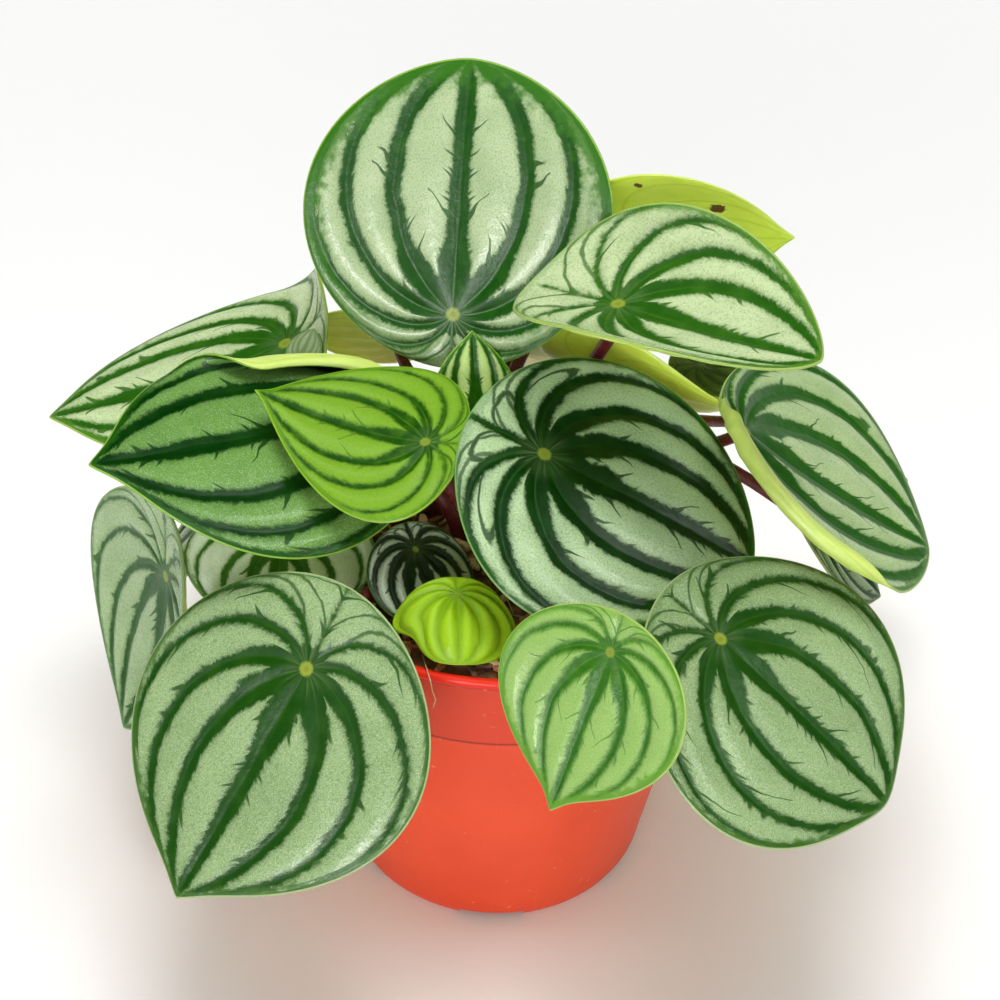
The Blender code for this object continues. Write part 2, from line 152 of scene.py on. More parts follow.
LEAVES = {
    # Those that face the front
    "leaf_top": Leaf((-15, 22, 158), 87, -65, -9, 78, 80, (-5, 9), base=0.18, point=0.58, cup=1,
        arch=(-8, -8), bend=12, drip=0, tone="bright"),
    "leaf_upper_right": Leaf((25, -5, 180), -32, -7, 7, 80, 57, (9, 11), base=0.31, point=0.71, full=1.1,
        drip=0, sweep=-0.13, cup=2, arch=(-65, -46), bow=(4, 22, 0), tone="silvered"),
    "leaf_back_lime": Leaf((33, 46, 170), -8, -5, -63, 56, 60, (2, 16), base=0.33, point=0.82,
        drip=0.04, arch=(9, 9), bow=(-12, 17, 0), tone="lime_plain", puff=0.35),
    "leaf_curled_lime": Leaf((27, 33, 134), -33, -4, -50, 56, 40, (14, 7), base=0.39, point=0.8,
        cup=2, arch=(0, -30), tone="lime_plain", puff=0.35),
    "leaf_right": Leaf((59, -6, 145), -8, 38, -6, 69, 87, (23, -4), base=0.13, point=0.64, full=2.15,
        sweep=0.05, narrow=0.12, wide=0.29, cup=2, arch=(-3, 0), bend=-5, drip=0,
        curl=(54, 22, 8.5, 205, -12), bow=(4, 24, -11), tone="broad"),
    "leaf_centre": Leaf((9, -20, 146), -16, 21, 14, 79, 80, (2, -9), base=0.26, point=0.71, drip=0,
        sweep=0.07, arch=(8, 11), bend=8, tone="deep"),
    "leaf_lower_left": Leaf((-46, -60, 110), -128, 46, -4, 81, 81, (-23, -26), base=0.27, point=0.75,
        full=1.7, drip=0.04, sweep=-0.04, arch=(10, 2), bend=-4, bow=(-5, 0, 2)),
    "leaf_front": Leaf((24, -80, 137), -124, 62, 6, 46, 50, (8, -25), base=0.2, point=0.8, drip=0.07,
        sweep=-0.05, cup=2, arch=(-8, -8), bend=8, slant=0.2, bow=(5, -2, -13),
        tone="fresh"),
    "leaf_lower_right": Leaf((51, -60, 124), -30, 28, 3, 70, 79, (18, -17), base=0.25, point=0.56,
        full=1.9, arch=(-6, 8), bend=8),
    "leaf_upper_left": Leaf((-61, 42, 134), 192, 20, -2, 88, 66, (-18, 6), base=0.27, point=0.76,
        arch=(13, 13), bend=-10, back=-88, notch=(135, 30, 0.28), tone="silvered"),
    "leaf_left": Leaf((-32, 4, 142), 206, 1, -15, 82, 72, (-12, -3), base=0.13, point=0.74, drip=0.06,
        sweep=0.02, narrow=0.05, arch=(24, 22), bend=-11, curl=(48, 24, 14, 225, -40),
        tone="moss"),
    "leaf_lime": Leaf((-20, -18, 147), 167, 8, -14, 53, 48, (-5, -14), base=0.2, point=0.92, full=1,
        drip=0.04, sweep=-0.1, cup=3, arch=(22, 8), bend=-20, tone="lime"),
    "leaf_young": Leaf((-11, -42, 119.5), -84, 16, -6, 23, 38, (-2, -38), base=0.22, point=0.42, full=1.1,
        drip=0, arch=(60, 60), bend=34, notch=(-48, 20, 0.24), puff=1.1, pleat=True,
        tone="young"),
    "leaf_glossy": Leaf((-22, -24, 118), -62, 35, -14, 30, 31, (-12, -24), arch=(12, 12), bend=4,
        tone="glossy"),
    "leaf_far_left": Leaf((-88, -12, 96), -108, 81, 40, 68, 68, (-28, 2), base=0.31, point=0.68, full=0.9,
        narrow=-0.1, cup=3, arch=(-30, -14), bend=-20, sweep=-0.07, bow=(0, 0, 14),
        tone="grey"),
    "leaf_silver": Leaf((-56, -20, 115.7), -90, 22, 0, 40, 48, (-24, -12), base=0.35, point=0.75,
        bow=(0, 0, 2), tone="silver"),
    "leaf_striped": Leaf((-7.8, 2.5, 136.5), 98, -57, 5, 34, 24, (-4, 0), base=0.3, point=0.79,
        arch=(10, 10), bend=4, tone="striped"),
    "leaf_tiny": Leaf((-55.5, 27, 139), 60, -40, 0, 12, 10, (-12, 13), bow=(7, -2, -3), puff=0.1,
        tone="dull"),
    # Those behind
    "leaf_shaded": Leaf((-31, 54, 129), 175, 0, 60, 36, 32, (-8, 22), tone="lime_plain", puff=0.35),
    # leaf_dark's olive tone is painted shade
    "leaf_dark": Leaf((54, 56, 122), 0, 0, 0, 38, 32, (10, 26), tone="olive"),
    "leaf_back_upper": Leaf((-14, 46, 150), 98, 14, 0, 60, 50, (-3, 17), wave=1),
    "leaf_back": Leaf((0, 66, 118), 88, 42, 0, 74, 60, (1, 27), base=0.27, wave=1),
    "leaf_back_right": Leaf((73, 62, 103), 18, 34, 0, 82, 64, (22, 24), wave=1, bow=(0, 0, 6)),
    "leaf_back_left": Leaf((-62, 68, 99), 140, 42, 0, 74, 60, (-20, 16), base=0.27, wave=1, bow=(0, 0, 6)),
    "leaf_right_low": Leaf((84, 15, 101), -4, 50, 0, 44, 36, (34, 16), base=0.27, wave=1, bow=(0, 0, 14)),
    "leaf_left_low": Leaf((-78, 30, 90), 178, 52, 0, 56, 44, (-26, 10), base=0.27, wave=1, bow=(0, 0, 19)),
}


# ---- Surfaces: a small way to write shader nodes as sums ----

def rgb(red, green, blue):
    """A colour given as 0-255 screen values, in the linear values that a shader takes."""
    shares = [value / 255 for value in (red, green, blue)]
    return (*(share / 12.92 if share <= 0.04045 else ((share + 0.055) / 1.055) ** 2.4 for share in shares), 1)


def plug(tree, slot, value):
    """Give a node's input a field or a plain value."""
    if isinstance(value, Field):
        tree.links.new(value.socket, slot)
    else:
        slot.default_value = value


def operator(operation):
    """A method of Field that does this to it."""
    return lambda field, *others: field.math(operation, *others)


class Field:
    """A value that varies over a surface: the output of a shader node."""

    def __init__(self, tree, socket):
        self.tree, self.socket = tree, socket

    def math(self, operation, *others):
        node = self.tree.nodes.new("ShaderNodeMath")
        node.operation = operation
        for slot, value in zip(node.inputs, (self, *others)):
            plug(self.tree, slot, value)
        return Field(self.tree, node.outputs[0])

    __add__, __sub__ = operator("ADD"), operator("SUBTRACT")
    __mul__, __truediv__ = operator("MULTIPLY"), operator("DIVIDE")
    less, more, size = operator("MINIMUM"), operator("MAXIMUM"), operator("ABSOLUTE")

    def step(self, start, end):
        """0 before start, 1 past end, smooth between them. start may be the larger of the two."""
        node = self.tree.nodes.new("ShaderNodeMapRange")
        node.interpolation_type = "SMOOTHSTEP"
        for slot, value in zip(node.inputs, (self, start, end, 0, 1)):
            plug(self.tree, slot, value)
        return Field(self.tree, node.outputs[0])


class Surface:
    """A material and the nodes that its pattern is made from."""

    def __init__(self, name):
        self.material = bpy.data.materials.new(name)
        self.material.use_nodes = True
        self.tree = self.material.node_tree
        self.shader = self.tree.nodes["Principled BSDF"]

    def node(self, kind, output=0, inputs=None, **settings):
        made = self.tree.nodes.new(kind)
        for key, value in settings.items():
            setattr(made, key, value)
        for key, value in (inputs or {}).items():
            plug(self.tree, made.inputs[key], value)
        return Field(self.tree, made.outputs[output])

    def attribute(self, name):
        return self.node("ShaderNodeAttribute", "Vector", attribute_name=name)

    def place(self):
        """The point itself, in metres."""
        return self.node("ShaderNodeTexCoord", "Object")

    def split(self, vector):
        return [self.node("ShaderNodeSeparateXYZ", i, {0: vector}) for i in range(3)]

    def vector(self, *parts):
        return self.node("ShaderNodeCombineXYZ", 0, dict(enumerate(parts)))

    def noise(self, vector, size, detail, roughness=0.5):
        return self.node("ShaderNodeTexNoise", 0, {
            "Vector": vector, "Scale": 1 / size, "Detail": detail, "Roughness": roughness})

    def mix(self, share, first, second):
        made = self.tree.nodes.new("ShaderNodeMix")
        made.data_type = "RGBA"
        plug(self.tree, made.inputs["Factor"], share)
        colours = [slot for slot in made.inputs if slot.type == "RGBA"]
        plug(self.tree, colours[0], first)
        plug(self.tree, colours[1], second)
        return Field(self.tree, next(slot for slot in made.outputs if slot.type == "RGBA"))

    def bump(self, height, strength, distance=0.0002):
        return self.node("ShaderNodeBump", 0, {
            "Height": height, "Strength": strength, "Distance": distance})

    def shaded(self, **values):
        """Give the shader these inputs, and return the material."""
        for key, value in values.items():
            plug(self.tree, self.shader.inputs[key.replace("_", " ")], value)
        return self.material


@dataclass
class Tone:
    """Colours of an upper face, and how strong its pattern is."""

    dark: tuple  # the bands
    pale: tuple  # between the bands
    green: tuple  # the margin, and the shading of both
    rim: tuple
    band: float = 1.0  # width of the bands, as a share of the usual
    taper: float = 0.43  # how much narrower each band is than the one nearer the midrib
    flare: float = 1.25  # how much wider the forward bands are at the stalk
    thin: float = 0.4  # how much narrower the bands are at the margin
    soft: float = 0.0  # how blurred the bands are
    frost: float = 1.0  # how silvery it is between them
    fringe: float = 2.4  # width of the green margin
    veins: float = 1.0  # how dark the side veins are
    forks: float = 0.4  # width of the branches where the bands at the base fork
    loops: float = 0.0  # width of the veins that loop between the bands at the base
    mark: float = 0.8  # how clear the mark over the stalk is
    shine: float = 0.28


TONES = {  # dark, pale, green and rim come first
    "green": Tone(rgb(18, 68, 0), rgb(140, 167, 112), rgb(56, 100, 24), rgb(160, 180, 124)),
    "deep": Tone(rgb(0, 44, 0), rgb(168, 196, 146), rgb(26, 86, 8), rgb(110, 156, 80),
        band=1.15, taper=0.3, fringe=3, forks=0.5, loops=1, mark=0.6),
    "bright": Tone(rgb(16, 72, 2), rgb(170, 189, 142), rgb(48, 108, 10), rgb(130, 170, 60),
        band=1.05, thin=0, fringe=8),
    "silvered": Tone(rgb(32, 88, 4), rgb(188, 206, 154), rgb(76, 126, 30), rgb(150, 176, 90),
        band=0.86, flare=0.7, forks=0.5),
    "broad": Tone(rgb(26, 84, 4), rgb(164, 188, 130), rgb(66, 116, 26), rgb(150, 180, 90),
        band=1.7, forks=0.5),
    # moss is painted shade: a darker copy of the usual green, for leaf_left, which lies at a grazing angle to
    # the light
    "moss": Tone(rgb(0, 48, 0), rgb(102, 147, 62), rgb(28, 84, 6), rgb(130, 170, 60), frost=0.6),
    "grey": Tone(rgb(40, 84, 30), rgb(152, 177, 126), rgb(66, 114, 42), rgb(136, 168, 96),
        band=0.75, frost=0.8),
    # silver is painted light: its pale is raised near white to make up for the shade that leaf_silver lies in
    "silver": Tone(rgb(50, 104, 16), rgb(230, 242, 222), rgb(80, 130, 44), rgb(150, 180, 100),
        band=0.9, forks=0.5),
    # glossy's pale is raised as painted light, to make up for the shade that leaf_glossy lies in; its shine
    # is real gloss
    "glossy": Tone(rgb(0, 34, 2), rgb(196, 214, 186), rgb(10, 60, 10), rgb(80, 134, 52),
        band=1.15, taper=0.3, loops=0.9, shine=0.6),
    "striped": Tone(rgb(24, 76, 0), rgb(186, 214, 126), rgb(60, 120, 20), rgb(160, 200, 70),
        band=0.85, frost=0.6),
    "fresh": Tone(rgb(38, 100, 4), rgb(140, 178, 88), rgb(94, 148, 34), rgb(160, 186, 96),
        band=0.8, soft=0.6, frost=0.7, fringe=4, veins=0.7, forks=0.3, mark=0.6, shine=0.25),
    "lime": Tone(rgb(16, 70, 0), rgb(116, 160, 30), rgb(96, 146, 14), rgb(140, 180, 50),
        band=0.66, soft=0.3, frost=0.25, veins=0.6, mark=0.6, shine=0.25),
    "young": Tone(rgb(116, 156, 6), rgb(156, 198, 30), rgb(138, 180, 14), rgb(180, 210, 60),
        band=0.7, soft=2, frost=0.1, veins=0.1, forks=0, mark=0.2, shine=0.25),
    "lime_plain": Tone(rgb(134, 172, 34), rgb(186, 212, 82), rgb(164, 198, 54), rgb(204, 224, 104),
        band=0.4, soft=1, frost=0.1, veins=0.3, forks=0, mark=0.1),
    "dull": Tone(rgb(112, 134, 84), rgb(150, 168, 126), rgb(100, 130, 76), rgb(130, 160, 90),
        band=0.6, soft=1, frost=0.3, veins=0.3, forks=0, mark=0),
    # olive is painted shade: leaf_dark is a dark, plain olive to fill the shade under leaf_upper_right, not
    # its own colour
    "olive": Tone(rgb(40, 58, 8), rgb(66, 86, 20), rgb(60, 80, 16), rgb(170, 196, 60),
        band=0.5, soft=1, frost=0.1, mark=0.1),
}
LIME_TONES = ("lime", "young", "lime_plain")
# Near-white grains on the silver: partly pale frost, partly painted glints
FROST_AND_GLINT = rgb(226, 226, 216)
WORN_GREY = rgb(104, 126, 84)
STALK_MARK = rgb(148, 164, 52)
STALK_MARK_MIDDLE = rgb(116, 112, 36)


class UpperFace(Surface):
    """Dark bands that run from the stalk to the tip, and pale speckled areas between.

    The sizes are mm on a leaf of the usual length. leaf_flat holds each point of the flat blade and the
    leaf's seed, and leaf_vein its band number, the band spacing there and its share of the way out.
    """

    def __init__(self, name, tone):
        super().__init__(name)
        self.tone = tone
        self.flat = self.attribute("leaf_flat")
        self.x, self.y, self.seed = self.split(self.flat)
        self.out = (self.x * self.x + self.y * self.y).math("SQRT")  # from the stalk
        across, self.spacing, self.share = self.split(self.attribute("leaf_vein"))
        wander = (self.noise(self.flat, 11, 1) - 0.5) * 0.16
        self.across = across + wander * self.out.step(3, 12)
        self.number = self.across.math("ROUND").less(LAST_BAND)
        self.turned = (self.across - self.number).size()  # from the band's middle, in spacings
        self.off = self.turned * self.spacing  # from the band's middle
        self.grain = self.noise(self.flat, 0.4, 2)
        self.patches = self.noise(self.flat, 3.0, 3) - 0.5
        self.curl = (self.noise(self.flat, 6, 1) - 0.5) * 3.5
        edge = self.off - self.half_band()
        self.beyond = edge.more(0)  # from the band's edge
        slanted = self.out - self.beyond * 0.9
        self.teeth = self.noise(self.vector(self.across * 4, slanted / 0.8, self.seed), 1, 2) - 0.5
        ragged = edge + self.teeth * 1.3 + self.patches * 1.3 + (self.grain - 0.5) * 0.9
        self.bands = ragged.step(0.65 + tone.soft, -0.5 - tone.soft)

    def half_band(self):
        """Bands narrow towards the base lobe and the margin. Those that run forward widen at the stalk."""
        tone, out, number = self.tone, self.out, self.number
        half = (number * -tone.taper + 2.5) * (self.share.step(0.6, 1.02) * -tone.thin + 1) * tone.band
        flare = out.step(25, 6) * (number.step(3.4, 0.6) * tone.flare + 0.1)
        half = half * (flare + 1) * self.spacing.step(0.2, 1.8) + out.step(6.5, 2) * 3
        room = self.spacing * 0.43 + out.step(12, 5) * 5
        return half.less(room)

    def side_veins(self, length, pitch, lean, root, thin):
        """Veins that leave each band at a slant, wedge-shaped at the root and thin beyond."""
        side = self.across.math("GREATER_THAN", self.number)
        along = (self.out - self.beyond * lean + self.curl * length) / pitch
        cell = {"W": along + self.number * 7.31 + side * 3.7 + self.seed, "Scale": 1.0}
        distance = self.node("ShaderNodeTexVoronoi", "Distance", cell, voronoi_dimensions="1D")
        chance = self.split(self.node("ShaderNodeTexVoronoi", "Color", cell, voronoi_dimensions="1D"))
        reach = (chance[0] * 0.9 + 0.1) * self.spacing * 0.5 * length
        reach = reach * (chance[1] + self.number.less(1) * -0.3).step(0.25, 0.5)
        thick = (self.beyond * -0.8).math("EXPONENT") * root + thin
        return (distance * pitch - thick).step(0.25, -0.15) * (self.beyond - reach).step(0.3, -1.5)

    def forks(self):
        """Branches of the bands that run back, towards the base lobe."""
        width = self.tone.forks
        spread = self.share.step(0.42, 0.95).math("SQRT") * 0.38
        away = (self.turned - spread + self.patches * 0.1).size() * self.spacing + self.teeth * 0.3
        branches = away.step(width + 0.2, width - 0.3) * self.share.step(0.4, 0.46)
        return branches * self.across.step(3.9, 4.1)

    def loops(self):
        """Veins that loop from band to band at the base lobe."""
        half = self.tone.loops * 0.6
        rise = (self.turned * math.pi).math("SINE").math("POWER", 0.7)
        away = (self.share - rise * 0.3 - 0.54) * self.out / self.share.more(0.02)
        away = (away + self.curl * 0.5 + self.teeth).size()
        return away.step(half + 0.4, half - 0.3) * self.across.step(2.95, 3.05)

    def dark_marks(self):
        """Bands and veins together."""
        veins = self.side_veins(length=1.1, pitch=8.0, lean=1.2, root=0.8, thin=0.15)
        veins = veins.more(self.side_veins(length=0.4, pitch=2.9, lean=0.8, root=0.4, thin=0.1))
        marks = self.bands.more(veins * (0.9 * self.tone.veins))
        if self.tone.forks:
            marks = marks.more(self.forks() * 0.8)
        if self.tone.loops:
            marks = marks.more(self.loops() * 0.9)
        return marks

    def pale_colour(self):
        """Soft green clouds, green grains, and near-white grains: partly pale frost, partly painted glints.
        """
        tone = self.tone
        clouds = self.noise(self.flat, 12, 3).step(0.35, 0.75)
        moss = self.noise(self.vector(self.x, self.y, self.seed + 5), 0.5, 2).step(0.5, 0.36)
        frost_and_glints = self.noise(self.flat, 0.26, 1).step(0.5, 0.72)
        colour = self.mix(clouds * 0.24, tone.pale, tone.green)
        colour = self.mix(self.beyond.step(1.8, 0) * 0.3, colour, tone.green)
        colour = self.mix(moss * 0.32 * tone.frost, colour, tone.green)
        return self.mix(frost_and_glints * 0.36 * tone.frost, colour, FROST_AND_GLINT)

    def dark_colour(self):
        """A little lighter along the middle of a band, and greyer in streaks at the stalk."""
        tone, out = self.tone, self.out
        colour = self.mix(self.off.step(0.45, 0.1) * out.step(26, 8) * 0.3, tone.dark, tone.green)
        colour = self.mix(self.noise(self.flat, 5, 3).step(0.4, 0.8) * 0.3, colour, tone.green)
        streaks = self.noise(self.vector(self.across * 5, out / 30, self.seed), 1, 2).step(0.35, 0.75)
        return self.mix(out.step(9, 2.5) * streaks * 0.45, colour, WORN_GREY)

    def edged(self, colour):
        """The colour with the green margin, the rim and the mark over the stalk."""
        tone = self.tone
        inside = self.out / self.share.more(0.02) * (self.share * -1 + 1)  # from the margin
        fringe = inside + self.teeth * 2 + self.patches * tone.fringe * 1.6
        forward = self.x.step(-15, 20) * 0.5 + 0.35
        colour = self.mix(fringe.step(tone.fringe, tone.fringe * 0.3) * forward, colour, tone.green)
        colour = self.mix(inside.step(0.4, 0.15), colour, tone.rim)
        spot = self.out + (self.grain - 0.5) * 0.8
        colour = self.mix(spot.step(2.2, 1.3) * tone.mark, colour, STALK_MARK)
        return self.mix(spot.step(1.0, 0.5) * tone.mark * 0.5, colour, STALK_MARK_MIDDLE)


def upper_surface(name, tone):
    """The material of an upper face."""
    skin = UpperFace(name, tone)
    marks = skin.dark_marks()
    colour = skin.edged(skin.mix(marks, skin.pale_colour(), skin.dark_colour()))
    crease = skin.off.step(1.1, 0) * skin.out.step(3, 10) * skin.share.step(1, 0.8)
    height = skin.grain * 0.6 + marks * -1.5 + crease * -1.5 + skin.noise(skin.flat, 2.2, 2) * 2.5
    return skin.shaded(Base_Color=colour, Roughness=skin.grain * 0.12 + marks * 0.12 + 0.22,
                    Specular_IOR_Level=tone.shine, Normal=skin.bump(height, 0.3))


def under_surface(name, colour, vein, flecks=()):
    """The lower face: plain and pale, with faint veins. flecks are brown scars, each x, y and radius."""
    skin = Surface(name)
    flat = skin.attribute("leaf_flat")
    across, spacing, _ = skin.split(skin.attribute("leaf_vein"))
    off = (across - across.math("ROUND").less(LAST_BAND)).size() * spacing
    tinted = skin.mix(skin.noise(flat, 6, 3).step(0.3, 0.8) * 0.35, colour, vein)
    tinted = skin.mix(off.step(0.9, 0.2) * 0.45, tinted, vein)
    if flecks:
        x, y, _ = skin.split(flat)
        ragged = (skin.noise(flat, 1.5, 3) - 0.5) * 3
        for fleck_x, fleck_y, radius in flecks:
            along, aside = x - fleck_x, y - fleck_y
            away = (along * along + aside * aside).math("SQRT") + ragged
            tinted = skin.mix(away.step(radius + 0.5, radius - 0.3), tinted, rgb(96, 58, 16))
    grain = skin.noise(flat, 0.5, 2)
    return skin.shaded(Base_Color=tinted, Roughness=grain * 0.15 + 0.36,
                    Normal=skin.bump(grain + off.less(1) * 0.8, 0.3))


def stalk_surface():
    """Burgundy, with brown clouds and pale specks."""
    skin = Surface("stalk_burgundy")
    place = skin.place()
    clouds = skin.noise(place, 0.004, 3)
    specks = skin.noise(place, 0.0007, 1).step(0.6, 0.75)
    colour = skin.mix(clouds.step(0.35, 0.8) * 0.6, rgb(84, 18, 26), rgb(120, 46, 34))
    colour = skin.mix(specks * 0.3, colour, rgb(170, 110, 84))
    return skin.shaded(Base_Color=colour, Roughness=clouds * 0.2 + 0.3,
                       Normal=skin.bump(specks + clouds, 0.3))


def pot_surface():
    """Moulded red-orange plastic with faint flow clouds, dust, fine scratches and painted shade above the
    ledge and under the lip.
    """
    skin = Surface("pot_plastic")
    place = skin.place()
    x, y, height = skin.split(place)
    around = y.math("ARCTAN2", x)
    clouds = skin.noise(place, 0.03, 3)
    fine = skin.noise(place, 0.0006, 2)
    colour = skin.mix(clouds.step(0.3, 0.75), rgb(218, 66, 30), rgb(228, 76, 38))
    ledge, lip = LEDGE_HEIGHT * MM, (POT_HEIGHT - LIP) * MM
    # Painted shade: the band above the ledge is a darker red
    colour = skin.mix(height.step(ledge, ledge + 0.0005) * 0.55, colour, rgb(198, 54, 30))
    colour = skin.mix(height.step(lip - 0.0016, lip - 0.0006), colour, rgb(226, 40, 14))
    # Painted shade: dark lines in the step and in the groove under the lip
    step_shade_line = (height - (ledge + 0.0013)).size().step(0.0004, 0.00012)
    lip_shade_line = (height - (lip - 0.0017)).size().step(0.0005, 0.0002)
    lines = step_shade_line.more(lip_shade_line) * (clouds.step(0.2, 0.6) * 0.3 + 0.5)
    colour = skin.mix(lines, colour, rgb(96, 14, 10))
    streaks = skin.noise(skin.vector(around * 160, height * 45, 3), 1, 2).step(0.7, 0.76)
    colour = skin.mix(streaks * 0.3, colour, rgb(238, 150, 110))
    scratches = skin.noise(skin.vector(around * 9, height * 900, 0), 1, 3, roughness=0.6).step(0.66, 0.74)
    colour = skin.mix(scratches * 0.16, colour, rgb(240, 150, 110))
    dust = skin.noise(place, 0.0022, 2).step(0.71, 0.76)
    colour = skin.mix(dust * 0.4, colour, rgb(238, 170, 130))
    return skin.shaded(Base_Color=colour, Roughness=fine * 0.12 + clouds * 0.12 + 0.3,
                    Specular_IOR_Level=0.3, Normal=skin.bump(fine + scratches * -2, 0.12))


def soil_surface(name, low, high, size_metres=0.003):
    skin = Surface(name)
    place = skin.place()
    big = skin.noise(place, size_metres, 4)
    fine = skin.noise(place, size_metres / 12, 3)
    colour = skin.mix(big.step(0.3, 0.7), low, high)
    colour = skin.mix(fine.step(0.5, 0.75) * 0.4, colour, rgb(20, 12, 8))
    return skin.shaded(Base_Color=colour, Roughness=0.9, Normal=skin.bump(fine + big, 0.8, 0.0008))


def floor_surface():
    """Nearly white. Far from the plant it glows, as pale as the walls."""
    skin = Surface("pale_floor")
    place = skin.place()
    x, y, _ = skin.split(place)
    away = (x * x + y * y).math("SQRT").step(0.3, 1.8)
    colour = skin.mix(skin.noise(place, 0.3, 2) * 0.2, rgb(248, 248, 247), rgb(243, 243, 242))
    return skin.shaded(Base_Color=colour, Roughness=0.8, Emission_Color=(1, 1, 1, 1),
                    Emission_Strength=away * 0.64)


# ---- Meshes ----

def linked(name, data):
    """An object with this data, in the scene."""
    made = bpy.data.objects.new(name, data)
    bpy.context.scene.collection.objects.link(made)
    return made


def mesh_object(name, points, faces, surfaces, smooth=True):
    mesh = bpy.data.meshes.new(name)
    mesh.from_pydata((np.array(points) * MM).tolist(), [], faces)
    for surface in surfaces:
        mesh.materials.append(surface)
    if smooth:
        mesh.shade_smooth()
    return linked(name, mesh)


def closed_faces(rows, columns):
    """Faces over one first point, rows of points that each run once round, and one last point."""
    faces = [(0, 1 + column, 1 + (column + 1) % columns) for column in range(columns)]
    for row in range(rows - 1):
        low, high = 1 + row * columns, 1 + (row + 1) * columns
        for column in range(columns):
            after = (column + 1) % columns
            faces.append((low + column, high + column, high + after, low + after))
    last = 1 + (rows - 1) * columns
    faces += [(last + (column + 1) % columns, last + column, last + columns) for column in range(columns)]
    return faces


def tube(line, radii, sides):
    """Points and faces of a round bar along a line of points, with closed ends."""
    points, faces = [], []
    across = (line[1] - line[0]).orthogonal().normalized()
    for i, place in enumerate(line):
        ahead = (line[min(i + 1, len(line) - 1)] - line[max(i - 1, 0)]).normalized()
        across = (across - ahead * across.dot(ahead)).normalized()
        other = ahead.cross(across)
        for side in range(sides):
            turn = 2 * math.pi * side / sides
            points.append(place + (across * math.cos(turn) + other * math.sin(turn)) * radii[i])
    for i in range(len(line) - 1):
        low, high = i * sides, (i + 1) * sides
        for side in range(sides):
            after = (side + 1) % sides
            faces.append((low + side, low + after, high + after, high + side))
    faces.append(tuple(range(sides))[::-1])
    faces.append(tuple(range((len(line) - 1) * sides, len(line) * sides)))
    return points, faces


# ---- Leaves ----

def outline(leaf, rays):
    """Flat points round the blade's edge, and the direction of each from the tip, before it is swept."""
    turn = np.linspace(0, 2 * np.pi, rays, endpoint=False)
    along = (1 + np.cos(turn)) / 2
    fine = np.linspace(0.01, 0.99, 99)
    widest = (np.sqrt(fine) * (1 - fine**leaf.full) ** leaf.point).max()
    half = np.sqrt(along) * (1 - along**leaf.full) ** leaf.point / widest
    from_tip = np.minimum(turn, 2 * np.pi - turn)
    x = leaf.length * (along - leaf.base + leaf.drip * np.exp(-((from_tip / DRIP_SPREAD) ** 2)))
    even = np.sign(np.sin(turn)) * half * leaf.width / 2
    y = even * np.where(np.sin(turn) >= 0, 1 + leaf.wide, 1 - leaf.narrow)
    y += leaf.sweep * leaf.length * np.clip(x / leaf.length, 0, 1) ** 2
    if leaf.notch:
        middle, spread, depth = leaf.notch
        cut = 1 - depth * np.exp(-(((np.degrees(np.arctan2(y, x)) - middle) / spread) ** 2))
        x, y, even = x * cut, y * cut, even * cut
    return np.stack([x, y], axis=-1), np.arctan2(np.abs(even), x)


def bent(distance, offset, span, angle):
    """Reach and height of points once the span that they lie on curves down by the angle."""
    radius = span / math.radians(angle)
    turned = distance / radius
    return (radius + offset) * np.sin(turned), (radius + offset) * np.cos(turned) - radius


def curled(leaf, x, y):
    """y once the right margin is rolled up and over, and the height that the roll adds."""
    first, full, width, angle, last = leaf.curl
    edge = outline(leaf, rays=720)[0]
    right = edge[edge[:, 1] < 0]
    right = right[np.argsort(right[:, 0])]
    ease = np.clip((first - x) / (first - full), 0, 1) * np.clip((x - last) / CURL_FADE, 0, 1)
    turned = np.radians(angle) * np.maximum(ease**2 * (3 - 2 * ease), 0.002)
    begin = -np.interp(x, right[:, 0], right[:, 1]) - width
    rolled = np.maximum(-y - begin, 0) * turned / width
    aside = np.where(rolled > 0, -begin - width / turned * np.sin(rolled), y)
    return aside, width / turned * (1 - np.cos(rolled)) * CURL_HEIGHT


def formed(leaf, flat):
    """Flat points of the blade brought to its real form."""
    x, y = flat[..., 0], flat[..., 1]
    out = (2 * x / leaf.length) ** 2 + (2 * y / leaf.width) ** 2
    around = np.arctan2(y / leaf.width, x / leaf.length)
    z = (leaf.cup + leaf.wave * np.sin(3 * around)) * out / 2
    if leaf.curl:
        y, lift = curled(leaf, x, y)
        z = z + lift
    for side, angle, half in ((1, leaf.arch[0], 1), (-1, leaf.arch[1], 1 - leaf.narrow)):
        if angle:
            beyond = side * y > 0
            over, drop = bent(side * y, 0, leaf.width / 2 * half, angle)
            y, z = np.where(beyond, side * over, y), np.where(beyond, z + drop, z)
    for side, angle, share in ((1, leaf.bend, 1 - leaf.base), (-1, leaf.back, leaf.base)):
        if angle:
            beyond = side * x > 0
            reach, height = bent(side * x, z, share * leaf.length, angle)
            x, z = np.where(beyond, side * reach, x), np.where(beyond, height, z)
    return np.stack([x, y, z], axis=-1)


def leaf_turn(leaf):
    return Euler([math.radians(angle) for angle in (leaf.roll, leaf.dip, leaf.heading)]).to_matrix()


def band_numbers(direction, rings):
    """Which band each point is on, from 0 for the midrib to 5 for the vein opposite it, with shares between.

    rings are shares of the way out. A band swings towards the tip on its way to the margin.
    """
    start = np.linspace(0, 1, 201)
    numbers = []
    for ring in rings:
        reached = start * max(1 - ring, 0.004) ** (1 - start)
        found = np.interp(direction / np.pi, reached, start)
        numbers.append(np.interp(found * 180, BAND_STARTS, range(len(BAND_STARTS))))
    return np.array(numbers)


